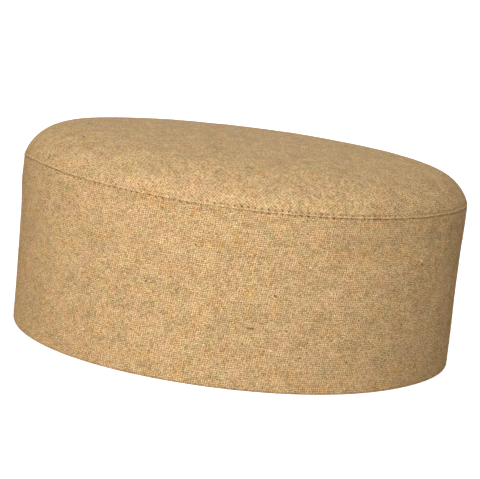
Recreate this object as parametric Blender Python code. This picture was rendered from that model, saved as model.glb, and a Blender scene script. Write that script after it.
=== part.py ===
"""A plain brimless kufi cap in two sewn pieces of thick cloth: an upright side band and a low crown.
Metres, +Z up. The rim stands on z = 0 and its centre is the origin. The wearer's front is -Y."""
import bmesh
import bpy
from math import cos, exp, hypot, pi, radians, sin

# Sizes of the whole cap
RIM_RADIUS = 0.0950        # outside of the band at the rim
SEAM_RADIUS = 0.0952       # outside of the band at the seam
SEAM_HEIGHT = 0.0700
WAIST = 0.0003             # how far the band draws in halfway up
BAND_WALL = 0.0030

# Crown: a steep shoulder and a shallow dome above it
SHOULDER_RISE = 0.0130
SHOULDER_POWER = 10.9
SHOULDER_ROUND = 1.50
DOME_RISE = 0.0059
CROWN_WALL = 0.0018
LIP_PROUD = 0.0003         # the crown's folded edge stands out past the band by this
LIP_FADE = 0.0040

# Seam allowance of the band, which goes up inside the crown
ALLOWANCE_WALL = 0.0012
ALLOWANCE_LENGTH = 0.0058
GAP = 0.0003

# How the made-up cap leans, as seen in front view
SEAM_SLANT = -0.01234      # rise of the seam for each metre towards +X
SEAM_SADDLE = 0.00116      # seam higher at the sides, lower at front and back
TOP_LEAN = -0.00055

SEGMENTS = 96
EDGE = 0.0007              # size of the softened edges

# Soft dents of the band: angle, height, half width round, half height, depth inwards
DENTS = (
    (radians(-58), 0.055, 0.014, 0.007, 0.0006),
    (radians(-158), 0.022, 0.016, 0.014, 0.0005),
    (radians(118), 0.040, 0.022, 0.014, 0.0006),
)


def clear_scene():
    for thing in list(bpy.data.objects):
        bpy.data.objects.remove(thing, do_unlink=True)
    for store in (bpy.data.meshes, bpy.data.materials):
        for thing in list(store):
            store.remove(thing)


def cloth(name, colour, roughness):
    material = bpy.data.materials.new(name)
    material.use_nodes = True
    shader = material.node_tree.nodes["Principled BSDF"]
    shader.inputs["Base Color"].default_value = (*colour, 1.0)
    shader.inputs["Roughness"].default_value = roughness
    shader.inputs["Metallic"].default_value = 0.0
    material.diffuse_color = (*colour, 1.0)
    return material


def band_radius(height):
    t = height / SEAM_HEIGHT
    return RIM_RADIUS + (SEAM_RADIUS - RIM_RADIUS) * t - WAIST * sin(pi * t)


def crown_height(rho):
    shoulder = SHOULDER_RISE * (1 - rho ** SHOULDER_POWER) ** (1 / SHOULDER_ROUND)
    return SEAM_HEIGHT + shoulder + DOME_RISE * (1 - rho * rho)


def crown_line():
    """The crown's outside in section, from the seam to the top: radius, height and outward normal."""
    fine = [1 - (k / 800) ** 2 for k in range(801)]
    points = [(SEAM_RADIUS * rho, crown_height(rho)) for rho in fine]
    line, walked = [], 0.0
    for k, (r, z) in enumerate(points):
        before, after = points[max(k - 1, 0)], points[min(k + 1, len(points) - 1)]
        dr, dz = after[0] - before[0], after[1] - before[1]
        size = hypot(dr, dz)
        if k:
            walked += hypot(r - points[k - 1][0], z - points[k - 1][1])
        line.append((walked, r, z, dz / size, -dr / size))
    line[0] = (0.0, *points[0], 1.0, 0.0)
    line[-1] = (walked, 0.0, points[-1][1], 0.0, 1.0)
    return line


def below_crown(line, walked, depth):
    """A point at this depth under the crown's outside, this far along it from the seam."""
    for a, b in zip(line, line[1:]):
        if b[0] >= walked:
            break
    f = min(1.0, max(0.0, (walked - a[0]) / (b[0] - a[0])))
    r, z, nr, nz = (a[k] + (b[k] - a[k]) * f for k in (1, 2, 3, 4))
    size = hypot(nr, nz)
    return max(0.0, r - depth * nr / size), z - depth * nz / size


def band_section():
    """The band's closed section, outside upwards, over the seam allowance and down the inside."""
    line = crown_line()
    step = SEAM_HEIGHT - GAP
    outer = [(band_radius(z), z) for z in (EDGE, 0.006, 0.013, 0.022, 0.032, 0.042, 0.051, 0.059, 0.065)]
    outer += [(band_radius(step - EDGE), step - EDGE), (band_radius(step) - EDGE * 0.6, step)]
    out_depth = CROWN_WALL + GAP
    in_depth = out_depth + ALLOWANCE_WALL
    up = [0.0, 0.0015, 0.003, 0.0045, ALLOWANCE_LENGTH]
    allowance = [(below_crown(line, 0.0, out_depth)[0], step)]
    allowance += [below_crown(line, s, out_depth) for s in up[1:]]
    allowance += [below_crown(line, s, in_depth) for s in reversed(up)]
    inner = [(band_radius(z) - BAND_WALL, z) for z in (0.062, 0.050, 0.038, 0.026, 0.013, EDGE)]
    rim = [(RIM_RADIUS - BAND_WALL + EDGE, 0.0), (RIM_RADIUS - EDGE, 0.0)]
    return outer + allowance + inner + rim


def crown_sections():
    """The crown's outside and inside in section, each from the folded edge to the top."""
    line = crown_line()
    length = line[-1][0]
    walk = [EDGE, 0.002, 0.004, 0.0065, 0.009, 0.012, 0.016, 0.021, 0.028, 0.038, 0.050, 0.064, 0.080]
    outside = [below_crown(line, s, -LIP_PROUD * exp(-(s / LIP_FADE) ** 2)) for s in walk]
    inside = [below_crown(line, s, CROWN_WALL) for s in [0.0] + walk[1:]]
    edge = (SEAM_RADIUS + LIP_PROUD - EDGE * 0.6, SEAM_HEIGHT)
    outside = [edge] + outside + [below_crown(line, length, 0.0)]
    inside = inside + [below_crown(line, length, CROWN_WALL)]
    return outside, inside


def set_place(r, z, angle):
    """Where a point of the section goes at this angle, with the slant, the saddle and the dents."""
    t = min(1.0, z / SEAM_HEIGHT)
    for dent_angle, height, half_round, half_up, depth in DENTS:
        turn = (angle - dent_angle + pi) % (2 * pi) - pi
        far = (turn * RIM_RADIUS / half_round) ** 2 + ((z - height) / half_up) ** 2
        r -= depth * exp(-far) * min(1.0, z / 0.01) * max(0.0, min(1.0, (SEAM_HEIGHT - z) / 0.006))
    x, y = r * cos(angle), r * sin(angle)
    lift = SEAM_SLANT * x + SEAM_SADDLE * (r / SEAM_RADIUS) ** 4 * cos(2 * angle)
    return x + t * TOP_LEAN, y, z + t * lift


def ring(mesh, r, z):
    return [mesh.verts.new(set_place(r, z, 2 * pi * k / SEGMENTS)) for k in range(SEGMENTS)]


def skin(mesh, lower, upper):
    for k in range(SEGMENTS):
        n = (k + 1) % SEGMENTS
        mesh.faces.new((lower[k], lower[n], upper[n], upper[k]))


def cap_off(mesh, last, r, z):
    top = mesh.verts.new(set_place(r, z, 0.0))
    for k in range(SEGMENTS):
        mesh.faces.new((last[k], last[(k + 1) % SEGMENTS], top))


def finish(mesh, name, material):
    bmesh.ops.recalc_face_normals(mesh, faces=mesh.faces)
    data = bpy.data.meshes.new(name)
    mesh.to_mesh(data)
    mesh.free()
    data.materials.append(material)
    piece = bpy.data.objects.new(name, data)
    bpy.context.scene.collection.objects.link(piece)
    data.shade_smooth()
    data.set_sharp_from_angle(angle=radians(50))
    return piece


def make_side_band(material):
    mesh = bmesh.new()
    rings = [ring(mesh, r, z) for r, z in band_section()]
    for lower, upper in zip(rings, rings[1:] + rings[:1]):
        skin(mesh, lower, upper)
    return finish(mesh, "side_band", material)


def make_crown(material):
    mesh = bmesh.new()
    outside, inside = crown_sections()
    outer_rings = [ring(mesh, r, z) for r, z in outside[:-1]]
    inner_rings = [ring(mesh, r, z) for r, z in inside[:-1]]
    for rings in (outer_rings, inner_rings):
        for lower, upper in zip(rings, rings[1:]):
            skin(mesh, lower, upper)
    skin(mesh, inner_rings[0], outer_rings[0])
    cap_off(mesh, outer_rings[-1], *outside[-1])
    cap_off(mesh, inner_rings[-1], *inside[-1])
    return finish(mesh, "crown", material)


clear_scene()
make_side_band(cloth("band_cloth", (0.54, 0.36, 0.19), 0.92))
make_crown(cloth("crown_cloth", (0.56, 0.37, 0.20), 0.92))
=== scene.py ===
# %% [markdown]
# # A kufi cap in thick tweed
# A kufi is a soft cap with no brim. This one is two pieces of one oatmeal cloth: a tall upright band
# round the head and a low domed crown, lapped over it and stitched down. The solids of both come
# packed as a frame. This notebook dresses them: it sews fine cloth over the frame, and lights it.

# %% Load the frame and note its size
from math import atan2, cos, degrees, exp, hypot, pi, radians, sin

import bmesh
import bpy
from mathutils import Matrix, Vector, noise


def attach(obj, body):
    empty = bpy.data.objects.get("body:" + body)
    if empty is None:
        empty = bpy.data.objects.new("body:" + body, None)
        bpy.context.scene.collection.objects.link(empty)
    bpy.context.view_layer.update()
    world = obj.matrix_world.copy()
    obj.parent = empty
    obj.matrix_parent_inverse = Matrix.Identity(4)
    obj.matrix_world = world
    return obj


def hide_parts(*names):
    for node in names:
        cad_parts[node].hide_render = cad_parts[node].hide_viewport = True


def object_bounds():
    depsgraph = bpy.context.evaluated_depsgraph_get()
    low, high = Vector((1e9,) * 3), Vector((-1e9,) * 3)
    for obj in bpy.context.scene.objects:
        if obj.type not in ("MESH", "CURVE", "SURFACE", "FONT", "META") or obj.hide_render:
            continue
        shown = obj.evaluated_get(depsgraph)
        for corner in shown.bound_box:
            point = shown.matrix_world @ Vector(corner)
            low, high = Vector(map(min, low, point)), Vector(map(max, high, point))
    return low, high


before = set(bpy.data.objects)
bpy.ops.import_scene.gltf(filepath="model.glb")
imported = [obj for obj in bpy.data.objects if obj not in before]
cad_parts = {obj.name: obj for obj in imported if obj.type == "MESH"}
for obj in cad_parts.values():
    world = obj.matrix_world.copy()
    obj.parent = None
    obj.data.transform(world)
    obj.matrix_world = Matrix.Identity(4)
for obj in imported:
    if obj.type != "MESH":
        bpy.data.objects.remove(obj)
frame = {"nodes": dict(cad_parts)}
cad_box = [list(corner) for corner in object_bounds()]
print("frame:", ", ".join(frame["nodes"]), "in a box", [[round(v, 4) for v in c] for c in cad_box])


# %% A helper for every new object
def new_object(name, data):
    """Puts data into an object of that name, and the object into the scene."""
    thing = bpy.data.objects.new(name, data)
    bpy.context.scene.collection.objects.link(thing)
    return thing


# %% [markdown]
# ## The camera
# The photograph looks at the front from a little above, and is turned so that the cap seems to dip
# to the right. A camera could be aimed with a Track To constraint, but the turn about its own axis
# matters here, so its right, up and back directions are worked out and put into a matrix.

# %% Camera at the photograph's angle
CAMERA_DISTANCE = 0.63782
CAMERA_ELEVATION = radians(9.406)
CAMERA_ROLL = radians(6.417)
CAMERA_TARGET = Vector((-0.00046, 0.0, 0.04204))
FOCAL_PIXELS = 1461.36
PICTURE_WIDTH, PICTURE_HEIGHT = 480, 479
SENSOR_MM = 36.0

back = Vector((0.0, -cos(CAMERA_ELEVATION), sin(CAMERA_ELEVATION)))
level_up = Vector((0.0, sin(CAMERA_ELEVATION), cos(CAMERA_ELEVATION)))
level_right = Vector((1.0, 0.0, 0.0))
right = level_right * cos(CAMERA_ROLL) + level_up * sin(CAMERA_ROLL)
up = level_up * cos(CAMERA_ROLL) - level_right * sin(CAMERA_ROLL)

camera_data = bpy.data.cameras.new("camera")
camera_data.sensor_width = SENSOR_MM
camera_data.lens = FOCAL_PIXELS * SENSOR_MM / PICTURE_WIDTH
camera_data.clip_start, camera_data.clip_end = 0.05, 50.0
camera = new_object("camera", camera_data)
place = Matrix((right, up, back)).transposed().to_4x4()
place.translation = CAMERA_TARGET + back * CAMERA_DISTANCE
camera.matrix_world = place
bpy.context.scene.camera = camera
print("camera: %.0f mm lens, %.2f m away" % (camera_data.lens, CAMERA_DISTANCE))

# %% [markdown]
# ## The shape of the cap
# Every piece has to follow one form: a round upright wall, slightly drawn in at the waist, and a
# crown with a rounded shoulder and a shallow dome. The seam between them isn't quite level. One
# function says how far a point moves for that, and all pieces are passed through it, so they stay
# together. The sizes and the dents are those of the frame. The slumps, the dip and the sags are
# small moves of the made-up cloth, which only the dressed cap has.

# %% Sizes and the section of the cap
RIM_RADIUS, SEAM_RADIUS, SEAM_HEIGHT, WAIST = 0.0950, 0.0952, 0.0700, 0.0003
SHOULDER_RISE, SHOULDER_POWER, SHOULDER_ROUND, DOME_RISE = 0.0130, 10.9, 1.50, 0.0059
BAND_WALL, CROWN_WALL, GAP = 0.0030, 0.0018, 0.0003
# The band's outer face ends one gap below the crown's folded edge
BAND_TOP = SEAM_HEIGHT - GAP
# The seam falls to the right by the slant and dips at the front and the back by the saddle, and the
# top of the cap leans to the left
SEAM_SLANT, SEAM_SADDLE, TOP_LEAN = -0.01234, 0.00116, -0.00055
# Soft dents in the band: angle, height, half width round, half height, depth
DENTS = (
    (radians(-58), 0.055, 0.014, 0.007, 0.0006),
    (radians(-158), 0.022, 0.016, 0.014, 0.0005),
    (radians(118), 0.040, 0.022, 0.014, 0.0006),
)
# A dent fades towards the rim and the seam over these heights, and ends at so many half widths
DENT_FADE_RIM, DENT_FADE_SEAM, DENT_END = 0.010, 0.006, 3.0
# Slumps, in the same numbers as dents: a depth below 0 makes the cap fuller there
SLUMPS = (
    (radians(180), 0.0595, 0.055, 0.0103, -0.00101), (radians(180), 0.0306, 0.055, 0.0180, -0.00057),
    (radians(185), 0.0735, 0.030, 0.0060, -0.00030), (radians(23), 0.0821, 0.085, 0.0075, 0.00068),
    (radians(0), 0.0607, 0.050, 0.0100, -0.00028), (radians(0), 0.0740, 0.030, 0.0050, 0.00022),
    (radians(-103), 0.0, 0.040, 0.020, 0.00085), (radians(-38), 0.0, 0.030, 0.020, 0.00090),
    (radians(-36), 0.0625, 0.0040, 0.0050, 0.00045), (radians(-45), 0.0600, 0.0060, 0.0040, 0.00025),
    (radians(-5), 0.0180, 0.050, 0.0150, -0.00028),
)
# Where the seam was sewn lower for a short way, at the cap's left end: angle, half width round,
# half height, how far
SEAM_DIP = (radians(187), 0.019, 0.010, 0.0021)
# Where the top of the crown sinks a little: angle, half width round, how far. A sag is full from
# this high above the seam and this far out from the middle.
SAGS = ((radians(28), 0.042, 0.00044), (radians(105), 0.080, 0.00024))
SAG_FULL_UP, SAG_FULL_OUT = 0.009, 0.060


def band_radius(height):
    share = height / SEAM_HEIGHT
    return RIM_RADIUS + (SEAM_RADIUS - RIM_RADIUS) * share - WAIST * sin(pi * share)


def crown_height(rho):
    """Height of the crown's outside. Rho is 0 in the middle and 1 at the seam."""
    shoulder = SHOULDER_RISE * (1 - rho ** SHOULDER_POWER) ** (1 / SHOULDER_ROUND)
    return SEAM_HEIGHT + shoulder + DOME_RISE * (1 - rho * rho)


def clamped(share):
    return min(1.0, max(0.0, share))


def round_from(angle, centre, half_round):
    """How far round the cap from a centre, in half widths, squared."""
    turn = (angle - centre + pi) % (2 * pi) - pi
    return (turn * RIM_RADIUS / half_round) ** 2


def away(angle, z, centre, height, half_round, half_up):
    """How far over the cloth from the middle of a soft place, in half widths, squared."""
    return round_from(angle, centre, half_round) + ((z - height) / half_up) ** 2


def sewn(r, z, angle):
    """Where a point of the section goes at this angle, with the seam's slant and the soft dents."""
    for centre, height, half_round, half_up, depth in DENTS:
        far = away(angle, z, centre, height, half_round, half_up)
        if far < DENT_END ** 2:
            fade = clamped(z / DENT_FADE_RIM) * clamped((SEAM_HEIGHT - z) / DENT_FADE_SEAM)
            r -= depth * exp(-far) * fade
    edgeward = (r / SEAM_RADIUS) ** 6
    for centre, height, half_round, half_up, depth in SLUMPS:
        r -= depth * edgeward * exp(-away(angle, z, centre, height, half_round, half_up))
    x, y = r * cos(angle), r * sin(angle)
    lift = SEAM_SLANT * x + SEAM_SADDLE * (r / SEAM_RADIUS) ** 4 * cos(2 * angle)
    above = clamped((z - SEAM_HEIGHT) / SAG_FULL_UP)
    for centre, half_round, depth in SAGS:
        lift -= depth * above * min(1.0, r / SAG_FULL_OUT) * exp(-round_from(angle, centre, half_round))
    centre, half_round, half_up, drop = SEAM_DIP
    dip = drop * edgeward * exp(-away(angle, z, centre, SEAM_HEIGHT, half_round, half_up))
    share = clamped(z / SEAM_HEIGHT)
    return Vector((x + share * TOP_LEAN, y, z + share * lift - dip))


# %% The crown's outside in section
LINE_STEPS = 900


def crown_line():
    """Points from the seam to the top: distance walked, radius, height and outward normal."""
    rhos = [1 - (k / LINE_STEPS) ** 2 for k in range(LINE_STEPS + 1)]
    points = [(SEAM_RADIUS * rho, crown_height(rho)) for rho in rhos]
    line, walked = [], 0.0
    for k, (r, z) in enumerate(points):
        before, after = points[max(k - 1, 0)], points[min(k + 1, len(points) - 1)]
        dr, dz = after[0] - before[0], after[1] - before[1]
        size = hypot(dr, dz)
        if k:
            walked += hypot(r - points[k - 1][0], z - points[k - 1][1])
        line.append((walked, r, z, dz / size, -dr / size))
    line[0] = (0.0, *points[0], 1.0, 0.0)
    line[-1] = (walked, 0.0, points[-1][1], 0.0, 1.0)
    return line


CROWN_LINE = crown_line()
CROWN_REACH = CROWN_LINE[-1][0]


def on_crown(walked, depth=0.0):
    """Radius and height of a point this far up the crown from the seam, this deep under its face."""
    low, high = 0, len(CROWN_LINE) - 1
    while high - low > 1:
        middle = (low + high) // 2
        low, high = (middle, high) if CROWN_LINE[middle][0] <= walked else (low, middle)
    a, b = CROWN_LINE[low], CROWN_LINE[high]
    share = clamped((walked - a[0]) / (b[0] - a[0]))
    r, z, nr, nz = (a[k] + (b[k] - a[k]) * share for k in (1, 2, 3, 4))
    size = hypot(nr, nz)
    return max(0.0, r - depth * nr / size), z - depth * nz / size


print("crown: %.0f mm from seam to top along the cloth" % (CROWN_REACH * 1000))

# %% [markdown]
# ## How the cloth lies
# Thick cloth is never a perfect cylinder. It has slow swells a few millimetres wide, and where the
# stitches pull it down, the folded edge puckers between them. Both could be painted in as bump, but
# real relief also shows at the outline and in the mesh, so vertices are moved. The swells
# come from smooth noise, measured on the surface so that neighbouring pieces agree.

# %% Swells and puckers
STITCH_PITCH = 0.00255
STITCHES = round(2 * pi * SEAM_RADIUS / STITCH_PITCH)
# The row of stitches lies this far up the crown's edge, and the welt's ridge half as far
STITCH_UP = 0.00128
WELT_UP = STITCH_UP / 2
SWELL, SLOW_WAVES, QUICK_WAVES, QUICK_SHARE = 0.00022, 42.0, 120.0, 0.35
GROOVE_DEPTH, GROOVE_HALF, GROOVE_LEAST = 0.00026, 0.00042, 0.30


def swell(point):
    slow = noise.noise(point * SLOW_WAVES + Vector((3.1, 7.7, 1.3)))
    quick = noise.noise(point * QUICK_WAVES + Vector((9.2, 0.4, 5.8)))
    return SWELL * slow + QUICK_SHARE * SWELL * quick


def pucker(angle, walked):
    """The topstitch sinks a shallow groove into the folded edge, deepest at each needle hole."""
    groove = exp(-((walked - STITCH_UP) / GROOVE_HALF) ** 2)
    hole = 0.5 + 0.5 * cos(angle * STITCHES)
    return -GROOVE_DEPTH * groove * (GROOVE_LEAST + (1.0 - GROOVE_LEAST) * hole)


print("topstitch: %d stitches, %.1f mm apart" % (STITCHES, STITCH_PITCH * 1000))

# %% [markdown]
# ## How hard the seam was pulled
# Round the photograph's seam, the crease and the row of needle holes above it change: a plain dark
# line on the left, two rows of dots right of the middle, a fine line again on the right. These lines
# and dots are painted shade in the crease and the holes. One even pattern would look printed. So the
# seam is charted by the angle from the front, and the meshes carry the chart as attributes, which
# their materials read.

# %% Chart of the seam
# Degrees right of the front, then how dark the painted shade in the crease is, how far its dots run
# together into a line, and the same two numbers for the painted shade in the needle holes
SEAM_CHART = (
    (-180, 0.60, 0.30, 0.60, 0.10), (-90, 0.32, 0.75, 0.10, 0.20), (-60, 0.40, 0.58, 0.18, 0.10),
    (-45, 0.54, 0.32, 0.32, 0.08), (-31, 0.62, 0.15, 0.45, 0.10), (-22, 0.66, 0.12, 0.20, 0.20),
    (-10, 0.50, 0.20, 0.15, 0.30), (-6, 0.22, 0.30, 0.70, 0.20), (0, 0.36, 0.08, 0.95, 0.05),
    (6, 0.60, 0.10, 1.00, 0.03), (13, 0.88, 0.12, 0.75, 0.15), (19, 0.76, 0.20, 0.62, 0.62),
    (26, 0.50, 0.40, 0.60, 0.68), (34, 0.56, 0.35, 0.62, 0.42), (43, 0.45, 0.50, 0.48, 0.40),
    (50, 0.50, 0.70, 0.30, 0.60), (90, 0.45, 0.85, 0.35, 0.70), (180, 0.60, 0.30, 0.60, 0.10),
)
SEAM_NOTES = ("crease", "crease_run", "needle", "needle_run", "drift")
# How uneven the crease and the holes are, as shares, and the drift of the crease's dots off the beat
CREASE_UNEVEN, NEEDLE_UNEVEN, DRIFT_MOST = 0.9, 0.7, 2.6


def seam_notes(angle):
    """The chart at this angle, made a little uneven, and how far the crease's dots are off beat."""
    turn = (degrees(angle) + 270.0) % 360.0 - 180.0
    for a, b in zip(SEAM_CHART, SEAM_CHART[1:]):
        if turn <= b[0]:
            break
    share = (turn - a[0]) / (b[0] - a[0])
    crease, crease_run, needle, needle_run = (p + (q - p) * share for p, q in zip(a[1:], b[1:]))
    spot = Vector((cos(angle), sin(angle), 0.0))

    def uneven(waves, seed):
        return noise.noise(spot * waves + Vector((0.0, 0.0, seed)))

    crease *= 1.0 + CREASE_UNEVEN * uneven(23.0, 4.0)
    needle *= 1.0 + NEEDLE_UNEVEN * uneven(31.0, 7.0)
    return crease, crease_run, needle, needle_run, DRIFT_MOST * uneven(12.0, 2.0)


print("seam chart: %d places" % len(SEAM_CHART))

# %% [markdown]
# ## Cloth skins
# A piece of cloth with two faces could be a single sheet with a Solidify modifier. The cap's walls
# change thickness at the seam, so each skin is lofted here from rings instead: up one face, over the
# edge and down the other. Every corner also gets a place on the flat cloth, in metres, in the UV
# map, which the weave is drawn on later. The flat cloth begins and ends at the back of the cap,
# where the real band is joined.

# %% Loft a skin from rings
BACK = pi / 2
STEPS_PER_STITCH = 4
ROUND = STITCHES * STEPS_PER_STITCH


def skin_piece(name, rows, material, closed):
    """Each row has two functions of the angle: its place in space and its place on the flat cloth.

    Closed joins the last row to the first. A row whose points all coincide becomes one point.
    """
    mesh = bmesh.new()
    flat = mesh.loops.layers.uv.new("cloth")
    notes = [mesh.verts.layers.float.new(note) for note in SEAM_NOTES]
    angles = [BACK + 2 * pi * k / ROUND for k in range(ROUND + 1)]
    charted = [seam_notes(angle) for angle in angles]
    rings = []
    for at, _ in rows:
        alone = at(0.0) == at(pi)
        ring = [mesh.verts.new(at(angle)) for angle in (angles[:1] if alone else angles[:-1])]
        for vertex, values in zip(ring, charted):
            for layer, value in zip(notes, values):
                vertex[layer] = value
        rings.append(ring)
    count = len(rows)
    for j in range(count if closed else count - 1):
        n = (j + 1) % count
        a, b = rings[j], rings[n]
        for k in range(ROUND):
            m = (k + 1) % ROUND
            if len(a) == 1:
                corners = ((a[0], j, 0), (b[m], n, 1), (b[k], n, 0))
            elif len(b) == 1:
                corners = ((a[k], j, 0), (a[m], j, 1), (b[0], n, 0))
            else:
                corners = ((a[k], j, 0), (a[m], j, 1), (b[m], n, 1), (b[k], n, 0))
            face = mesh.faces.new([corner[0] for corner in corners])
            face.smooth = True
            for loop, (_, row, side) in zip(face.loops, corners):
                loop[flat].uv = rows[row][1](angles[k + side])
    bmesh.ops.recalc_face_normals(mesh, faces=mesh.faces)
    data = bpy.data.meshes.new(name)
    mesh.to_mesh(data)
    mesh.free()
    data.materials.append(material)
    print(name, len(data.polygons), "faces")
    return new_object(name, data)


# %% [markdown]
# ## Tweed
# The cloth is a plain weave: warp threads run up the band and weft threads run round it, over one
# and under one, about 11 and 13 to the centimetre. Each thread was spun from mixed wool, so it
# changes colour along its length, from grey beige to orange beige. A brick or checker texture would
# look printed, so the weave is built from the threads themselves: the number of the thread picks
# its colour, its rounded profile gives the bump, and which of the two is on top follows a checker.

# %% Small helpers for node trees
def put(tree, kind, inputs=None, **settings):
    """Adds a node, sets its properties and fills its sockets with values or with other outputs."""
    node = tree.nodes.new(kind)
    for name, value in settings.items():
        setattr(node, name, value)
    for key, value in (inputs or {}).items():
        named = [socket for socket in node.inputs if socket.name == key and socket.enabled]
        socket = node.inputs[key] if isinstance(key, int) else named[0]
        if isinstance(value, bpy.types.NodeSocket):
            tree.links.new(value, socket)
        elif socket.type == "RGBA":
            socket.default_value = (*value, 1.0)
        else:
            socket.default_value = value
    return node


def first(tree, kind, inputs=None, **settings):
    """Adds a node and gives its first output."""
    return put(tree, kind, inputs, **settings).outputs[0]


class Shader:
    """A material, and short names for the nodes it is built from.

    In the functions that build materials, s stands for the shader.
    """

    def __init__(self, name):
        self.material = bpy.data.materials.new(name)
        self.material.use_nodes = True
        self.tree = self.material.node_tree
        self.surface = self.tree.nodes["Principled BSDF"]

    def put(self, kind, inputs=None, **settings):
        return put(self.tree, kind, inputs, **settings)

    def math(self, operation, *values, clamp=False):
        given = dict(enumerate(values))
        return self.put("ShaderNodeMath", given, operation=operation, use_clamp=clamp).outputs[0]

    def times(self, a, b, clamp=False):
        return self.math("MULTIPLY", a, b, clamp=clamp)

    def noise(self, where, scale, detail=2.0, rough=0.5, output="Fac"):
        given = {"Vector": where, "Scale": scale, "Detail": detail, "Roughness": rough}
        return self.put("ShaderNodeTexNoise", given).outputs[output]

    def grain(self, scale, detail=2.0, rough=0.5):
        """Noise that runs through the piece, for a finish that doesn't follow the cloth."""
        return self.noise(self.put("ShaderNodeTexCoord").outputs["Object"], scale, detail, rough)

    def split(self, vector):
        return self.put("ShaderNodeSeparateXYZ", {"Vector": vector}).outputs

    def join(self, x, y, z=0.0):
        return self.put("ShaderNodeCombineXYZ", {"X": x, "Y": y, "Z": z}).outputs[0]

    def chance(self, x, y, seed):
        """A number from 0 to 1 that is fixed for each pair of whole numbers."""
        return self.put("ShaderNodeTexWhiteNoise", {"Vector": self.join(x, y, seed)}).outputs["Value"]

    def mix(self, factor, a, b, blend="MIX"):
        given = {"Factor": factor, "A": a, "B": b}
        return self.put("ShaderNodeMix", given, data_type="RGBA", blend_type=blend).outputs[2]

    def choose(self, factor, a, b):
        return self.put("ShaderNodeMix", {"Factor": factor, "A": a, "B": b}).outputs[0]

    def spread(self, value, low, high, to_low=0.0, to_high=1.0):
        given = {"Value": value, "From Min": low, "From Max": high, "To Min": to_low, "To Max": to_high}
        return self.put("ShaderNodeMapRange", given).outputs[0]

    def note(self, name):
        return self.put("ShaderNodeAttribute", attribute_name=name).outputs["Fac"]

    def ridge(self, value, centre, width):
        """A soft line that is 1 at the centre and fades over the width."""
        off = self.math("DIVIDE", self.math("SUBTRACT", value, centre), width)
        return self.math("EXPONENT", self.times(self.times(off, off), -1.0))

    def set(self, **values):
        for name, value in values.items():
            socket = self.surface.inputs[name.replace("_", " ")]
            if isinstance(value, bpy.types.NodeSocket):
                self.tree.links.new(value, socket)
            else:
                socket.default_value = (*value, 1.0) if isinstance(value, tuple) else value

    def bump(self, height, strength, distance):
        given = {"Strength": strength, "Distance": distance, "Height": height}
        self.set(Normal=self.put("ShaderNodeBump", given).outputs[0])


# %% Threads
WARP_PITCH, WEFT_PITCH = 0.00088, 0.00077
# Threads stray from their line by up to about this far, this often to the metre
STRAY, STRAY_SCALE = 0.0013, 360.0
# How fast a thread falls away to its sides, and towards the ends where it dives under the next
SIDE_FALL, END_FALL = 3.4, 2.6
# How often the tone changes along a thread, and the steps that keep neighbouring threads' tones apart
TONE_SCALE, WARP_STEP, WEFT_STEP, WEFT_SEED = 700.0, 7.31, 5.17, 9.0
# Keeps a thread's number above 0, because the remainder of a negative number is negative
ABOVE_ZERO = 100000.0


def threads(s, flat, skew):
    """Height of the weave, the tone of the thread on top, and a chance for each crossing."""
    wander = s.put("ShaderNodeSeparateColor", {0: s.noise(flat, STRAY_SCALE, 3.0, 0.72, "Color")}).outputs
    drift_x, drift_y = (s.times(s.math("SUBTRACT", wander[k], 0.5), STRAY) for k in (0, 1))
    along, across, _ = s.split(flat)
    leaning = s.math("MULTIPLY_ADD", across, skew, along)
    warp_at = s.math("DIVIDE", s.math("ADD", leaning, drift_x), WARP_PITCH)
    weft_at = s.math("DIVIDE", s.math("ADD", across, drift_y), WEFT_PITCH)
    warp_no, weft_no = s.math("FLOOR", warp_at), s.math("FLOOR", weft_at)
    warp_in = s.math("SUBTRACT", s.math("FRACT", warp_at), 0.5)
    weft_in = s.math("SUBTRACT", s.math("FRACT", weft_at), 0.5)
    both = s.math("ADD", s.math("ADD", warp_no, weft_no), ABOVE_ZERO)
    over = s.math("GREATER_THAN", s.math("MODULO", both, 2.0), 0.5)

    def profile(inside, cross):
        round_top = s.math("SUBTRACT", 1.0, s.times(s.times(inside, inside), SIDE_FALL))
        rise = s.math("SUBTRACT", 1.0, s.times(s.times(cross, cross), END_FALL))
        return s.times(round_top, rise)

    height = s.choose(over, profile(weft_in, warp_in), profile(warp_in, weft_in))
    warp_tone = s.noise(s.join(s.times(warp_no, WARP_STEP), s.times(across, TONE_SCALE)), 1.0)
    weft_tone = s.noise(s.join(s.times(weft_no, WEFT_STEP), s.times(along, TONE_SCALE), WEFT_SEED), 1.0)
    return height, s.choose(over, weft_tone, warp_tone), s.chance(warp_no, weft_no, 3.0)


print("threads: %.0f warp and %.0f weft to the centimetre" % (0.01 / WARP_PITCH, 0.01 / WEFT_PITCH))

# %% Colours of the wool
OATMEAL = (0.616, 0.416, 0.209)
PALE, DARK = (0.88, 0.65, 0.37), (0.210, 0.126, 0.050)
STONE, MOSS = (0.460, 0.330, 0.175), (0.505, 0.402, 0.180)
RUST, ROSE = (0.62, 0.350, 0.135), (0.61, 0.375, 0.225)
# What the oatmeal fleece was mixed with: colour, amount, the scale, detail and roughness of its
# noise, and the values of the noise between which the colour comes in
FLEECE = (
    (STONE, 0.74, (120.0, 3.0, 0.55), 0.42, 0.68),
    (MOSS, 0.72, (150.0, 2.0, 0.50), 0.46, 0.30),
    (RUST, 0.66, (170.0, 2.0, 0.50), 0.51, 0.68),
    (ROSE, 0.46, (75.0, 2.0, 0.50), 0.50, 0.66),
)
FIBRE_SCALE = 1850.0


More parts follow.
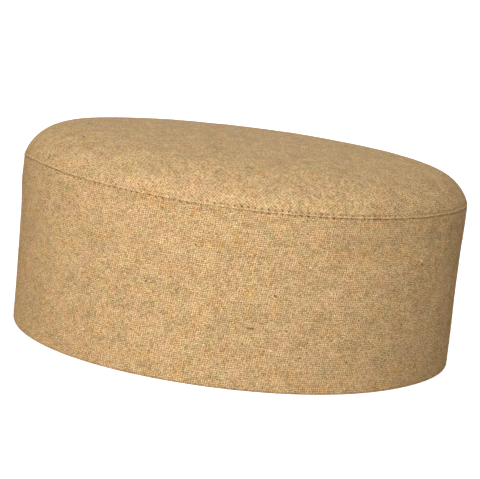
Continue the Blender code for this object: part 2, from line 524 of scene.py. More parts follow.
def wool(s, flat, yarn, knot, coarse):
    """The slow change of colour from mixed fleece, then the light and dark of yarns and fibres."""
    layers = [(other, share, s.noise(flat, *waves), low, high) for other, share, waves, low, high in FLEECE]
    fibre = s.noise(flat, FIBRE_SCALE / coarse, 1.0, 0.60)
    layers += [
        (PALE, 0.26, yarn, 0.52, 0.70), (DARK, 0.28, yarn, 0.47, 0.30),
        (PALE, 0.43 / coarse ** 2, fibre, 0.53, 0.70), (DARK, 1.00, fibre, 0.45, 0.32),
        (PALE, 0.14, knot, 0.66, 1.00), (DARK, 0.42, knot, 0.30, 0.00),
    ]
    colour = OATMEAL
    for other, share, value, low, high in layers:
        colour = s.mix(s.times(s.spread(value, low, high), share), colour, other)
    return colour


print("wool: oatmeal mixed with %d other fleeces" % len(FLEECE))

# %% Painted shade of the seam
# The colour of the painted shade in the crease and the needle holes, and of the join at the back
SEAM_DARK = (0.115, 0.058, 0.021)
# Half widths of the painted shade in the crease and in a needle hole, and of the welt's painted highlight,
# and how dark the join at the back is
CREASE_HALF, HOLE_HALF, WELT_HALF, JOIN_DARK = 0.00030, 0.00038, 0.00034, 0.8
# A dot comes in between these heights of the beat's wave
DOT_FROM, DOT_FULL = 0.20, 0.90


def beads(s, angle, kind):
    """Dots of painted shade one stitch apart, run together into a line where the chart says so."""
    beat = s.times(angle, float(STITCHES))
    if kind == "crease":
        beat = s.math("ADD", beat, s.note("drift"))
    dots = s.spread(s.math("COSINE", beat), DOT_FROM, DOT_FULL)
    return s.times(s.note(kind), s.math("MAXIMUM", dots, s.note(kind + "_run")), clamp=True)


def crown_seam_shading(s, uv):
    """On the crown's flat disc: painted shade in the crease at the folded edge and in the holes, and the
    welt's painted highlight.
    """
    x, y, _ = s.split(uv)
    size = s.put("ShaderNodeVectorMath", {0: uv}, operation="LENGTH").outputs["Value"]
    walked = s.math("SUBTRACT", CROWN_REACH, size)
    angle = s.math("ARCTAN2", y, x)
    crease = s.times(s.ridge(walked, 0.0, CREASE_HALF), beads(s, angle, "crease"))
    holes = s.times(s.ridge(walked, STITCH_UP, HOLE_HALF), beads(s, angle, "needle"))
    return s.math("MAXIMUM", crease, holes), s.ridge(walked, WELT_UP, WELT_HALF)


def band_seam_shading(s, uv):
    """On the band's flat strip: painted shade in the lower half of the crease, with the dark join, and no
    welt.
    """
    along, up_cloth, _ = s.split(uv)
    angle = s.math("ADD", s.math("DIVIDE", along, RIM_RADIUS), BACK)
    crease = s.times(s.ridge(up_cloth, BAND_TOP, CREASE_HALF), beads(s, angle, "crease"))
    to_join = s.math("MINIMUM", along, s.math("SUBTRACT", 2 * pi * RIM_RADIUS, along))
    join = s.times(s.ridge(to_join, 0.0, CREASE_HALF), JOIN_DARK)
    return s.math("MAXIMUM", crease, join), 0.0


# %% The tweed itself
# The share of light between threads and on top of them, and the values most of a noise lies between
HOLLOW_LIGHT, CREST_LIGHT = 0.50, 1.10
NOISE_LOW, NOISE_HIGH = 0.32, 0.68
# In a recess green and blue fade faster than red, by these powers
GREEN_FADE, BLUE_FADE = 1.10, 1.32
# How much the painted highlight lightens the welt, how dark the seam's painted shade is, and how far the
# shaded places sink
WELT_HIGHLIGHT, SEAM_SHADING_DARK, SEAM_SHADING_SINK = 0.14, 0.93, 1.6
# The fuzz on the threads, and the height of the threads in metres
FUZZ_SCALE, FUZZ_SHARE, RELIEF = 5200.0, 0.35, 0.00028


def tweed(name, seam_shading, skew, turn, coarse):
    """Skew leans the warp, turn lays the cloth at an angle, and coarse makes its grain larger."""
    s = Shader(name)
    uv = s.put("ShaderNodeUVMap", uv_map="cloth").outputs[0]
    flat = s.put("ShaderNodeMapping", {"Vector": uv, "Rotation": (0.0, 0.0, turn)}).outputs[0]
    height, yarn, knot = threads(s, flat, skew)
    colour = wool(s, flat, yarn, knot, coarse)
    # Less light reaches the bottom between threads, and the wool has soft light and dark places.
    # What comes back out of a recess has met more wool on its way, so it is deeper in colour.
    light = s.spread(height, 0.05, 0.70, HOLLOW_LIGHT, CREST_LIGHT)
    for scale, darker, lighter in ((330.0, 0.09 * coarse, 0.08 * coarse), (90.0, 0.055, 0.055)):
        patch = s.noise(flat, scale, 2.0, 0.6)
        light = s.times(light, s.spread(patch, NOISE_LOW, NOISE_HIGH, 1.0 - darker, 1.0 + lighter))
    dark, welt_highlight = seam_shading(s, uv)
    # A painted highlight lightens the raised welt
    light = s.times(light, s.math("MULTIPLY_ADD", welt_highlight, WELT_HIGHLIGHT, 1.0))
    deep = s.join(light, s.math("POWER", light, GREEN_FADE), s.math("POWER", light, BLUE_FADE))
    colour = s.mix(1.0, colour, deep, "MULTIPLY")
    # Painted shade in the crease and the needle holes, and the dark join, mix the cloth towards the seam's
    # dark colour
    colour = s.mix(s.times(dark, SEAM_SHADING_DARK), colour, SEAM_DARK)
    height = s.math("SUBTRACT", height, s.times(dark, SEAM_SHADING_SINK))
    s.set(Base_Color=colour, Roughness=s.spread(height, 0.0, 1.0, 0.98, 0.84), Sheen_Weight=0.04,
          Sheen_Roughness=0.55, Sheen_Tint=(0.92, 0.72, 0.45), Specular_IOR_Level=0.03)
    fuzzy = s.math("MULTIPLY_ADD", s.noise(flat, FUZZ_SCALE, 2.0, 0.6), FUZZ_SHARE, height)
    s.bump(fuzzy, 0.55, RELIEF)
    return s.material


BAND_TWEED = tweed("band_tweed", band_seam_shading, skew=-0.14, turn=0.0, coarse=1.0)
CROWN_TWEED = tweed("crown_tweed", crown_seam_shading, skew=0.03, turn=radians(38), coarse=1.18)
print("tweed:", len(CROWN_TWEED.node_tree.nodes), "nodes")

# %% [markdown]
# ## The side band
# On the real cap this is a long strip, joined at the back, hemmed at the rim and sewn to the crown
# at the top, where its edge goes up inside. It could be a bent plane, but the hem, the wall and the
# seam allowance are one loop in section, so the loop is listed once and carried round the head.

# %% Section of the band
ALLOWANCE_WALL, ALLOWANCE_LENGTH = 0.0012, 0.0058
# The rounding of the rim's edge, and how much of it is left at the corner
EDGE, CORNER = 0.0007, 0.30
# The hem's height, how far it stands proud of the wall above, and how far its top edge is let back
HEM, HEM_PROUD, HEM_LIP = 0.0180, 0.0004, 0.0003
# The swells come in over this height above the rim, and die away from this height to the seam
CALM_RIM, CALM_FROM = 0.004, 0.0640
PLAIN_ROWS = 44
# How far the top edge leans in, and the cloth that each fold takes up
TUCK, FOLD = 0.00006, 0.001
# How far the top edge is pulled up: the usual, the spread, the most, and its waves to the metre
EASE, EASE_SPREAD, EASE_MOST, EASE_WAVES = 0.00023, 0.00020, 0.00029, 430.0
JOIN_DEPTH, JOIN_HALF = 0.00045, 0.0007


def ease(angle):
    """How far the band's top edge is pulled up against the crown, a little more in some places."""
    around = Vector((cos(angle), sin(angle), 0.0)) * RIM_RADIUS
    return min(EASE_MOST, max(0.0, EASE + EASE_SPREAD * noise.noise(around * EASE_WAVES)))


def join_groove(angle):
    """The join at the back draws in a narrow groove."""
    return -JOIN_DEPTH * exp(-round_from(angle, BACK, JOIN_HALF))


def band_rows():
    rows = []

    def add(r, z, cloth_up, swells=1.0, snug=False, joined=False):
        def at(angle):
            around = Vector((cos(angle), sin(angle), z / RIM_RADIUS)) * RIM_RADIUS
            moved = swells * swell(around) + (join_groove(angle) if joined else 0.0)
            return sewn(r + moved, z + (ease(angle) if snug else 0.0), angle)
        rows.append((at, lambda angle: ((angle - BACK) * RIM_RADIUS, cloth_up)))

    # Up the outside
    for z in (EDGE + (CALM_FROM - EDGE) * k / PLAIN_ROWS for k in range(PLAIN_ROWS + 1)):
        add(band_radius(z), z, z, min(1.0, z / CALM_RIM), joined=z > EDGE)
    for z in (0.0655, 0.0668, 0.0678, 0.0686, 0.0692):
        add(band_radius(z), z, z, (BAND_TOP - z) / (BAND_TOP - CALM_FROM), joined=True)
    add(band_radius(BAND_TOP) - TUCK, BAND_TOP, BAND_TOP, 0.0, snug=True)
    # The seam allowance, up against the crown and down again
    out_depth = CROWN_WALL + GAP
    in_depth = out_depth + ALLOWANCE_WALL
    steps = [0.0, 0.0015, 0.003, 0.0045, ALLOWANCE_LENGTH]
    add(on_crown(0.0, out_depth)[0], BAND_TOP, BAND_TOP + FOLD, 0.0, snug=True)
    for walked in steps[1:]:
        add(*on_crown(walked, out_depth), BAND_TOP + FOLD + walked, 0.0)
    for walked in reversed(steps):
        add(*on_crown(walked, in_depth), BAND_TOP + 2 * FOLD + walked, 0.0)
    # Down the inside to the hem
    for z in (0.066, 0.060, 0.050, 0.040, 0.030, 0.022):
        add(band_radius(z) - BAND_WALL + HEM_PROUD, z, z)
    hem_top = HEM + HEM_PROUD
    add(band_radius(hem_top) - BAND_WALL + HEM_LIP, hem_top, hem_top, 0.5)
    for z in (HEM, 0.012, 0.006, EDGE):
        add(band_radius(z) - BAND_WALL, z, z, 0.5)
    # Round the rim: radius, height and place on the flat cloth
    corner = EDGE * CORNER
    add(RIM_RADIUS - BAND_WALL + corner, corner, 0.0002, 0.0)
    add(RIM_RADIUS - BAND_WALL + EDGE, 0.0, 0.0, 0.0)
    add(RIM_RADIUS - EDGE, 0.0, -0.0015, 0.0)
    add(RIM_RADIUS - corner, corner, -0.0002, 0.0)
    return rows


band = skin_piece("band_cloth", band_rows(), BAND_TWEED, closed=True)

# %% [markdown]
# ## The crown
# The crown is a disc, cut larger than the top of the cap, eased over the rounded shoulder and
# turned in along a folded edge. Because it is a flat disc of the same cloth, its threads run
# straight across it rather than round it, so its UV map is the disc laid flat.

# %% Section of the crown
LIP_PROUD, LIP_WIDTH, WELT_PROUD, WELT_WIDTH = 0.00008, 0.0013, 0.00010, 0.00045
# Close enough on both sides of a point to tell which way the crown faces there
BESIDE = 1e-4
# The swells come in over this far from the folded edge, and are less on the inside
CALM_EDGE, INSIDE_SWELLS = 0.006, 0.4
# Rows down the inside, then rows close together over the welt, then the rows of the dome
INSIDE_ROWS = 12
WELT_FROM, WELT_ROW, WELT_ROWS = 0.0002, 0.00018, 13
DOME_FROM, DOME_ROWS = 0.0046, 56
# How deep the fold's lowest line is tucked
FOLD_TUCK = 0.00002


def welt(walked):
    """How far the folded edge stands out. It is fullest between the crease and the stitches."""
    full = exp(-((walked - WELT_UP) / WELT_WIDTH) ** 2)
    return LIP_PROUD / (1 + (walked / LIP_WIDTH) ** 6) + WELT_PROUD * full


def crown_rows():
    rows = []

    def add(walked, depth, swells=1.0, puckers=0.0):
        r, z = on_crown(walked, depth)
        reach = CROWN_REACH - walked
        before, after = on_crown(max(0.0, walked - BESIDE)), on_crown(walked + BESIDE)
        dr, dz = after[0] - before[0], after[1] - before[1]
        size = hypot(dr, dz)

        def at(angle):
            base = sewn(r, z, angle)
            if r == 0.0:
                return base
            moved = swells * swell(base) + puckers * pucker(angle, walked)
            return sewn(r + moved * dz / size, z - moved * dr / size, angle)
        rows.append((at, lambda angle: (reach * cos(angle), reach * sin(angle))))

    # The inside first, from the top down, then the folded edge, then the outside back to the top
    inside = [CROWN_REACH * k / INSIDE_ROWS for k in range(INSIDE_ROWS, 0, -1)] + [0.004, 0.002, 0.0]
    for walked in inside:
        add(walked, CROWN_WALL, INSIDE_SWELLS if walked > CALM_EDGE else 0.0)
    outside = [0.0] + [WELT_FROM + WELT_ROW * k for k in range(WELT_ROWS)] + [0.0028, 0.0034, 0.0040]
    outside += [DOME_FROM + (CROWN_REACH - DOME_FROM) * (k / DOME_ROWS) for k in range(DOME_ROWS + 1)]
    for walked in outside:
        depth = -welt(walked) if walked > 0.0 else FOLD_TUCK
        add(walked, depth, min(1.0, walked / CALM_EDGE), 1.0)
    return rows


crown = skin_piece("crown_cloth", crown_rows(), CROWN_TWEED, closed=False)

# %% [markdown]
# ## Topstitching
# A row of thread holds the folded edge down. Each stitch lies in the groove and dives into a needle
# hole at both ends. Geometry Nodes are the natural way to repeat one stitch round a curve: a short
# arched stitch is instanced on every point of the seam's path and turned to follow it.

# %% Path of the stitches
STITCH_LENGTH, THREAD_RADIUS, THREAD_DIVE, THREAD_SUNK = 0.0017, 0.00013, 0.00030, 0.00006


def ring_path(name, points):
    """A closed line through the points."""
    data = bpy.data.meshes.new(name)
    count = len(points)
    data.from_pydata(points, [(k, (k + 1) % count) for k in range(count)], [])
    return new_object(name, data)


def stitch_point(number):
    """The middle of a stitch lies midway between two needle holes."""
    r, z = on_crown(STITCH_UP, THREAD_SUNK - welt(STITCH_UP))
    return sewn(r, z, 2 * pi * (number + 0.5) / STITCHES)


stitch_path = ring_path("topstitch_thread", [stitch_point(number) for number in range(STITCHES)])
print("stitches: %.1f mm long, in thread %.2f mm thick" % (STITCH_LENGTH * 1e3, THREAD_RADIUS * 2e3))

# %% Thread material
THREAD_DARK, THREAD_PALE = (0.46, 0.30, 0.14), (0.66, 0.46, 0.23)


def thread_material():
    s = Shader("thread")
    ply = s.grain(4200.0, 2.0, 0.6)
    s.set(Base_Color=s.mix(s.spread(ply, 0.35, 0.65), THREAD_DARK, THREAD_PALE),
          Roughness=s.spread(ply, 0.3, 0.7, 0.85, 0.65), Specular_IOR_Level=0.2)
    s.bump(ply, 0.4, 0.00005)
    return s.material


THREAD = thread_material()


# %% Node tree that sets the stitches
def new_tree(name, sockets):
    """A Geometry Nodes tree with one geometry in and out, and named inputs of its own."""
    tree = bpy.data.node_groups.new(name, "GeometryNodeTree")
    tree.interface.new_socket("Geometry", in_out="INPUT", socket_type="NodeSocketGeometry")
    for label, kind, value in sockets:
        socket = tree.interface.new_socket(label, in_out="INPUT", socket_type="NodeSocket" + kind)
        if value is not None:
            socket.default_value = value
    tree.interface.new_socket("Geometry", in_out="OUTPUT", socket_type="NodeSocketGeometry")
    return tree, tree.nodes.new("NodeGroupInput").outputs, tree.nodes.new("NodeGroupOutput")


def end_tree(tree, out, instances, material):
    """Makes the instances real, gives them their material and sends them out."""
    real = first(tree, "GeometryNodeRealizeInstances", {"Geometry": instances})
    painted = first(tree, "GeometryNodeSetMaterial", {"Geometry": real, "Material": material})
    tree.links.new(painted, out.inputs[0])
    return tree


def stitch_tree():
    tree, given, out = new_tree("topstitch", (
        ("Stitch length", "Float", STITCH_LENGTH), ("Thread radius", "Float", THREAD_RADIUS),
        ("Dive", "Float", THREAD_DIVE)))

    def times(a, b):
        return first(tree, "ShaderNodeMath", {0: a, 1: b}, operation="MULTIPLY")

    # One stitch: an arc that dives at both ends, with a round thread along it
    dive = times(given["Dive"], -1.0)
    start, end = (first(tree, "ShaderNodeCombineXYZ", {"X": dive, "Z": times(given["Stitch length"], half)})
                  for half in (-0.5, 0.5))
    middle = first(tree, "ShaderNodeCombineXYZ", {"X": given["Thread radius"]})
    arc = first(tree, "GeometryNodeCurveQuadraticBezier", {
        "Resolution": 5, "Start": start, "Middle": middle, "End": end})
    ply = first(tree, "GeometryNodeCurvePrimitiveCircle", {
        "Resolution": 6, "Radius": given["Thread radius"]})
    tube = first(tree, "GeometryNodeCurveToMesh", {"Curve": arc, "Profile Curve": ply, "Fill Caps": True})

    # Set one on each point of the path: Z along the path, X outwards
    curve = first(tree, "GeometryNodeMeshToCurve", {"Mesh": given["Geometry"]})
    where = first(tree, "GeometryNodeInputPosition")
    outward = first(tree, "ShaderNodeVectorMath", {0: where, 1: (1.0, 1.0, 0.0)}, operation="MULTIPLY")
    tangent = first(tree, "GeometryNodeInputTangent")
    turn = first(tree, "FunctionNodeAlignRotationToVector", {"Vector": tangent}, axis="Z")
    face_out = first(tree, "FunctionNodeAlignRotationToVector", {"Rotation": turn, "Vector": outward},
                     axis="X", pivot_axis="Z")
    set_down = first(tree, "GeometryNodeInstanceOnPoints", {
        "Points": curve, "Instance": tube, "Rotation": face_out})
    return end_tree(tree, out, set_down, THREAD)


def made_real(piece, tree, inputs):
    """Runs a node tree on a piece and keeps what it makes as a plain mesh."""
    modifier = piece.modifiers.new("made", "NODES")
    modifier.node_group = tree
    for item in tree.interface.items_tree:
        if item.in_out == "INPUT" and item.name in inputs:
            modifier[item.identifier] = inputs[item.name]
    graph = bpy.context.evaluated_depsgraph_get()
    data = bpy.data.meshes.new_from_object(piece.evaluated_get(graph))
    piece.modifiers.remove(modifier)
    old, piece.data = piece.data, data
    bpy.data.meshes.remove(old)
    data.shade_smooth()
    print(piece.name, len(data.polygons), "faces")
    return piece


stitches = made_real(stitch_path, stitch_tree(), {
    "Stitch length": STITCH_LENGTH, "Thread radius": THREAD_RADIUS, "Dive": THREAD_DIVE})

# %% [markdown]
# ## Flecks
# Tweed is spun with small tufts of dyed wool, which show as specks of yellow, orange, red and green,
# with pale and dark slubs among them. The ones that catch the eye are charted one by one where the
# photograph shows them. The many faint ones have no pattern, so Geometry Nodes scatter them over the
# cloth with a fixed seed.

# %% Chart of the flecks that show
DYES = {
    "yellow": (0.66, 0.54, 0.10), "orange": (0.62, 0.34, 0.09), "red": (0.44, 0.20, 0.12),
    "green": (0.45, 0.48, 0.26), "pink": (0.74, 0.50, 0.42), "cream": (0.79, 0.63, 0.45),
    "dark": (0.055, 0.030, 0.012), "brown": (0.19, 0.10, 0.045), "rust": (0.42, 0.17, 0.07),
}
# The colour, its place in the picture in pixels, and half its length in millimetres
BAND_CHART = (
    ("yellow", 209, 247, 0.62), ("yellow", 208, 265, 0.72), ("yellow", 250, 295, 0.62),
    ("orange", 76.5, 350, 0.80), ("orange", 53.6, 319, 0.75), ("orange", 153, 286, 0.75),
    ("red", 139, 221, 0.75), ("red", 222, 291, 0.60), ("red", 165, 369, 0.75),
    ("green", 273, 323, 0.80), ("pink", 270.6, 351, 0.75), ("pink", 90, 291, 0.55),
    ("cream", 203.6, 345, 0.55), ("cream", 311, 268, 0.55), ("cream", 332, 294, 0.55),
    ("cream", 83, 329, 0.55), ("cream", 422, 261, 0.60), ("dark", 422.6, 264.4, 0.65),
    ("dark", 275, 296, 0.60), ("dark", 248, 328, 0.45), ("dark", 250.3, 328.6, 0.55),
    ("dark", 252.4, 328.6, 0.50), ("dark", 300, 358, 0.55), ("dark", 402, 325, 0.55),
    ("dark", 452, 229, 0.70), ("dark", 146, 281, 0.55), ("brown", 411, 365, 0.55),
)
CROWN_CHART = (
    ("orange", 232.7, 175, 1.00), ("red", 295, 185, 0.85), ("red", 291.5, 183, 0.50),
    ("red", 273, 159, 0.65), ("green", 364, 210, 0.62), ("dark", 84, 137, 0.60),
    ("red", 357.5, 215.4, 0.65), ("red", 361.5, 215.6, 0.70), ("rust", 383, 215.4, 0.55),
    ("rust", 389, 215.2, 0.60), ("red", 414, 214.6, 0.55), ("rust", 420, 213.4, 0.65),
)
MILLIMETRE = 0.001
# A ray is followed from this far off the camera, in steps this long, this many times at most
RAY_FROM, RAY_STEP, RAY_STEPS = 0.50, 0.0003, 900
# The crown's slope is measured over this share of its radius to each side
SLOPE_SHARE = 0.004


def crown_facing(rho, angle):
    rise = crown_height(max(0.0, rho - SLOPE_SHARE)) - crown_height(min(1.0, rho + SLOPE_SHARE))
    return Vector((cos(angle) * rise, sin(angle) * rise, 2 * SLOPE_SHARE * SEAM_RADIUS)).normalized()


def seen_place(px, py, on_the_crown):
    """Where a ray through a point of the picture meets the cap, and which way the cloth faces."""
    origin = camera.matrix_world.translation
    sideways, downwards = px - PICTURE_WIDTH / 2, py - PICTURE_HEIGHT / 2
    ray = (right * sideways - up * downwards - back * FOCAL_PIXELS).normalized()
    for k in range(RAY_STEPS):
        spot = origin + ray * (RAY_FROM + RAY_STEP * k)
        r, angle = hypot(spot.x, spot.y), atan2(spot.y, spot.x)
        rho = r / SEAM_RADIUS
        if on_the_crown and r < SEAM_RADIUS and spot.z < sewn(r, crown_height(rho), angle).z:
            return spot, crown_facing(rho, angle)
        if not on_the_crown and r < band_radius(min(SEAM_HEIGHT, max(0.0, spot.z))):
            return spot, Vector((cos(angle), sin(angle), 0.0))
    raise ValueError("no cap at %s, %s" % (px, py))


def charted_points(name, chart, on_the_crown):
    """Loose points that carry the dye, the length and the facing of each charted fleck."""
    places = [seen_place(px, py, on_the_crown) for _, px, py, _ in chart]
    data = bpy.data.meshes.new(name)
    data.from_pydata([spot for spot, _ in places], [], [])
    for note, kind in (("dye", "FLOAT_COLOR"), ("length", "FLOAT"), ("facing", "FLOAT_VECTOR")):
        data.attributes.new(note, kind, "POINT")
    for k, (colour, _, _, length) in enumerate(chart):
        data.attributes["dye"].data[k].color = (*DYES[colour], 1.0)
        data.attributes["length"].data[k].value = length * MILLIMETRE
        data.attributes["facing"].data[k].vector = places[k][1]
    return new_object(name, data)


print("flecks charted: %d on the band, %d on the crown" % (len(BAND_CHART), len(CROWN_CHART)))


# %% Dyed wool
def fleck_material():
    s = Shader("fleck_wool")
    hair = s.grain(3600.0, 3.0, 0.6)
    dye = s.put("ShaderNodeAttribute", attribute_name="dye").outputs["Color"]
    s.set(Base_Color=s.mix(s.spread(hair, 0.38, 0.60, 0.60, 1.0), OATMEAL, dye),
          Roughness=s.spread(hair, 0.3, 0.7, 0.98, 0.85), Specular_IOR_Level=0.1)
    s.bump(hair, 0.5, 0.00008)
    return s.material


FLECK_WOOL = fleck_material()

# %% Node tree that sets the flecks
# The faint flecks' dyes, each as likely as the next
FAINT_DYES = (
    "brown", "rust", "dark", "cream", "brown", "rust", "orange", "brown", "brown", "dark",
    "rust", "brown", "cream", "yellow", "dark", "rust", "brown", "brown", "rust", "pink",
)
FAINT_PER_SQUARE_METRE, SHORTEST, LONGEST = 12000.0, 0.00016, 0.00044
BAND_SEED, CROWN_SEED = 58, 21
# A point inside the cap that its outer faces look away from, and the height that flecks start at
INSIDE_POINT, LOWEST_FLECK = (0.0, 0.0, 0.02), 0.0015
# A fleck's length, width and thickness
FLECK_SHAPE = (1.0, 0.66, 0.32)


def fleck_tree():
    tree, given, out = new_tree("flecks", (
        ("Cloth", "Object", None), ("Faint flecks per square metre", "Float", FAINT_PER_SQUARE_METRE),
        ("Seed", "Int", BAND_SEED), ("Shortest", "Float", SHORTEST), ("Longest", "Float", LONGEST)))

    def shown(node):
        """A node hides the outputs of the data types that it isn't set to."""
        return [output for output in node.outputs if output.enabled][0]

    def random(low, high, number):
        limits = {"Min": low, "Max": high, "Seed": number}
        return shown(put(tree, "FunctionNodeRandomValue", limits, data_type="FLOAT"))

    def stored(name, kind):
        return shown(put(tree, "GeometryNodeInputNamedAttribute", {"Name": name}, data_type=kind))

    def store(geometry, name, kind, value):
        values = {"Geometry": geometry, "Name": name, "Value": value}
        return first(tree, "GeometryNodeStoreNamedAttribute", values, data_type=kind, domain="POINT")

    def math(operation, a, b):
        return first(tree, "ShaderNodeMath", {0: a, 1: b}, operation=operation)

    def vector_math(operation, values):
        return put(tree, "ShaderNodeVectorMath", values, operation=operation).outputs

    # Faint flecks on the outside of the cloth only, where the face looks away from the middle
    cloth = put(tree, "GeometryNodeObjectInfo", {"Object": given["Cloth"]}).outputs["Geometry"]
    where, normal = first(tree, "GeometryNodeInputPosition"), first(tree, "GeometryNodeInputNormal")
    outward = vector_math("SUBTRACT", {0: where, 1: INSIDE_POINT})["Vector"]
    facing = vector_math("DOT_PRODUCT", {0: outward, 1: normal})["Value"]
    up_here = put(tree, "ShaderNodeSeparateXYZ", {0: where}).outputs["Z"]
    chosen = math("MULTIPLY", math("GREATER_THAN", facing, 0.0), math("GREATER_THAN", up_here, LOWEST_FLECK))
    points = put(tree, "GeometryNodeDistributePointsOnFaces", {
        "Mesh": cloth, "Selection": chosen, "Density": given["Faint flecks per square metre"],
        "Seed": given["Seed"]}).outputs
    pick = put(tree, "ShaderNodeValToRGB", {"Fac": random(0.0, 1.0, 1)})
    pick.color_ramp.interpolation = "CONSTANT"
    stops = pick.color_ramp.elements
    for k, colour in enumerate(FAINT_DYES):
        stop = stops[0] if k == 0 else stops.new(k / len(FAINT_DYES))
        stop.color = (*DYES[colour], 1.0)
    stops.remove(stops[-1])
    faint = store(points["Points"], "dye", "FLOAT_COLOR", pick.outputs["Color"])
    faint = store(faint, "length", "FLOAT", random(given["Shortest"], given["Longest"], 2))
    faint = store(faint, "facing", "FLOAT_VECTOR", points["Normal"])

    # Bring the charted ones down to the cloth's real face, with its swells, and join the two lots
    nearest = put(tree, "GeometryNodeProximity", {0: cloth}, target_element="FACES").outputs["Position"]
    on_cloth = first(tree, "GeometryNodeSetPosition", {"Geometry": given["Geometry"], "Position": nearest})
    charted = first(tree, "GeometryNodeMeshToPoints", {"Mesh": on_cloth})
    both = put(tree, "GeometryNodeJoinGeometry")
    for geometry in (charted, faint):
        tree.links.new(geometry, both.inputs[0])

    # Lay a flattened lump of wool on each, turned by chance
    lump = put(tree, "GeometryNodeMeshIcoSphere", {"Radius": 1.0, "Subdivisions": 2}).outputs["Mesh"]
    flat_way = first(tree, "FunctionNodeAlignRotationToVector", {"Vector": stored("facing", "FLOAT_VECTOR")},
                     axis="Z")
    about_up = first(tree, "ShaderNodeCombineXYZ", {"Z": random(0.0, pi, 3)})
    spin = first(tree, "FunctionNodeEulerToRotation", {0: about_up})
    turned = first(tree, "FunctionNodeRotateRotation", {"Rotation": flat_way, "Rotate By": spin},
                   rotation_space="LOCAL")
    shape = vector_math("SCALE", {0: FLECK_SHAPE, "Scale": stored("length", "FLOAT")})["Vector"]
    set_down = first(tree, "GeometryNodeInstanceOnPoints", {
        "Points": both.outputs[0], "Instance": lump, "Rotation": turned, "Scale": shape})
    return end_tree(tree, out, set_down, FLECK_WOOL)


# %% Set the flecks on both cloths
FLECK_TREE = fleck_tree()
band_flecks = made_real(charted_points("band_flecks", BAND_CHART, False), FLECK_TREE,
                        {"Cloth": band, "Seed": BAND_SEED})
crown_flecks = made_real(charted_points("crown_flecks", CROWN_CHART, True), FLECK_TREE,
                         {"Cloth": crown, "Seed": CROWN_SEED})

# %% [markdown]
# ## Hand the pieces to the frame
# The cap has no moving parts, so every piece rides on the one body. The two cloth skins stand for
# the frame's solids, which are hidden, and the size each was cut to is worked out.

# %% Ride and replace
# Cloth that the back join and the crown's folded edge take up
JOIN_ALLOWANCE, TURNED_UNDER = 0.020, 0.006
BAND_CUT = (2 * pi * (RIM_RADIUS - BAND_WALL / 2) + JOIN_ALLOWANCE, SEAM_HEIGHT + ALLOWANCE_LENGTH + HEM)
CROWN_CUT = 2 * (CROWN_REACH + TURNED_UNDER)

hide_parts("side_band")
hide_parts("crown")
for piece in (band, crown, stitches, band_flecks, crown_flecks):
    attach(piece, "root")
cut_mm = tuple(size / MILLIMETRE for size in (*BAND_CUT, CROWN_CUT))
print("cut: band %.0f x %.0f mm, crown %.0f mm across" % cut_mm)

# %% [markdown]
# ## Floor and light
# The photograph has a plain white ground, lit until it is blank, and broad soft light from the
# front, with some from the left and some from behind, which brightens the crown. A flat floor would
# show its horizon at the picture's edge, so the floor sweeps up behind the cap. Making it blank
# white with stronger lamps would also flood the cap from below, so the floor is two sheets: one that
# the camera sees, which glows a little, and one just under it that only throws light back, a little
# warm, as a real room does.

# %% A pale sweep
# The floor runs from in front of the cap to the bend, round it and up, and this far to each side.
# The level stretch before the bend keeps the shading under the cap even.
SWEEP_FROM, LEVEL_FROM, BEND_FROM, BEND_RADIUS, BEND_STEPS = -3.0, 0.5, 1.0, 0.8, 16
SWEEP_TOP, SWEEP_SIDE = 4.0, 5.0
WHITE, FLOOR_PALE, FLOOR_GLOW = (1.0, 1.0, 1.0), (0.92, 0.92, 0.92), 0.55
BOUNCE_WARM, BOUNCE_DOWN = (0.66, 0.60, 0.53), 0.001


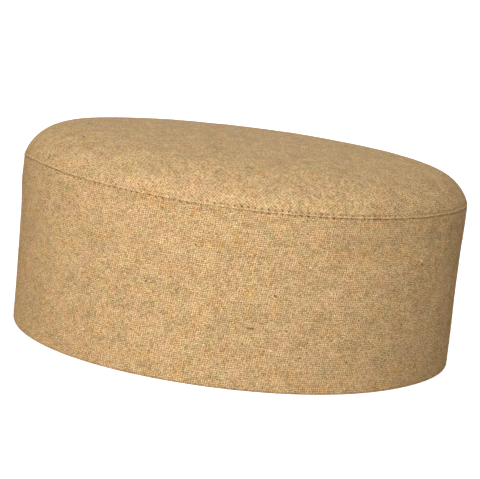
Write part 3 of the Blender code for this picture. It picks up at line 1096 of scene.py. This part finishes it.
def sweep(name, pale, glow, down=0.0):
    line = [(SWEEP_FROM, 0.0), (LEVEL_FROM, 0.0), (BEND_FROM, 0.0)]
    for k in range(1, BEND_STEPS + 1):
        bend = pi / 2 * k / BEND_STEPS
        line.append((BEND_FROM + BEND_RADIUS * sin(bend), BEND_RADIUS - BEND_RADIUS * cos(bend)))
    line.append((BEND_FROM + BEND_RADIUS, SWEEP_TOP))
    points = [(x, y, z - down) for y, z in line for x in (-SWEEP_SIDE, SWEEP_SIDE)]
    faces = [(2 * k, 2 * k + 1, 2 * k + 3, 2 * k + 2) for k in range(len(line) - 1)]
    data = bpy.data.meshes.new(name)
    data.from_pydata(points, [], faces)
    data.shade_smooth()
    s = Shader(name + "_paper")
    s.set(Base_Color=s.mix(s.grain(60.0), pale, tuple(0.98 * c for c in pale)), Roughness=0.9,
          Specular_IOR_Level=0.1, Emission_Color=WHITE, Emission_Strength=glow)
    data.materials.append(s.material)
    print(name, len(faces), "faces")
    return new_object(name, data)


floor = sweep("floor", FLOOR_PALE, FLOOR_GLOW)
floor.visible_diffuse = floor.visible_glossy = floor.visible_shadow = False
bounce = sweep("floor_bounce", BOUNCE_WARM, 0.0, down=BOUNCE_DOWN)
bounce.visible_camera = False

# %% Soft lights
# Name, azimuth and elevation in degrees, width in metres, watts, colour. Azimuth 0 is the camera's
# side and turns towards +X.
LAMPS = (
    ("front", 0, 38, 0.9, 23.8, WHITE), ("low_left", -38, 12, 0.9, 10.6, (1.0, 0.97, 0.93)),
    ("top_back", 180, 45, 0.9, 8.4, WHITE), ("low_back", 180, 4, 0.6, 14.0, WHITE),
)
LAMP_DISTANCE = 1.6
ROOM_LIGHT = 0.02

for name, azimuth, elevation, width, watts, colour in LAMPS:
    round_it, up_it = radians(azimuth), radians(elevation)
    towards = Vector((sin(round_it) * cos(up_it), -cos(round_it) * cos(up_it), sin(up_it))).normalized()
    lamp = bpy.data.lights.new(name, "AREA")
    lamp.shape, lamp.size, lamp.energy, lamp.color = "DISK", width, watts, colour
    light = new_object(name, lamp)
    light.location = CAMERA_TARGET + towards * LAMP_DISTANCE
    light.rotation_euler = towards.to_track_quat("Z", "Y").to_euler()
print("lamps: %d, %.0f W together" % (len(LAMPS), sum(watts for *_, watts, _ in LAMPS)))

world = bpy.data.worlds.new("studio")
world.use_nodes = True
world.node_tree.nodes["Background"].inputs["Color"].default_value = (*WHITE, 1.0)
world.node_tree.nodes["Background"].inputs["Strength"].default_value = ROOM_LIGHT
bpy.context.scene.world = world
bpy.context.scene.view_settings.view_transform = "Standard"
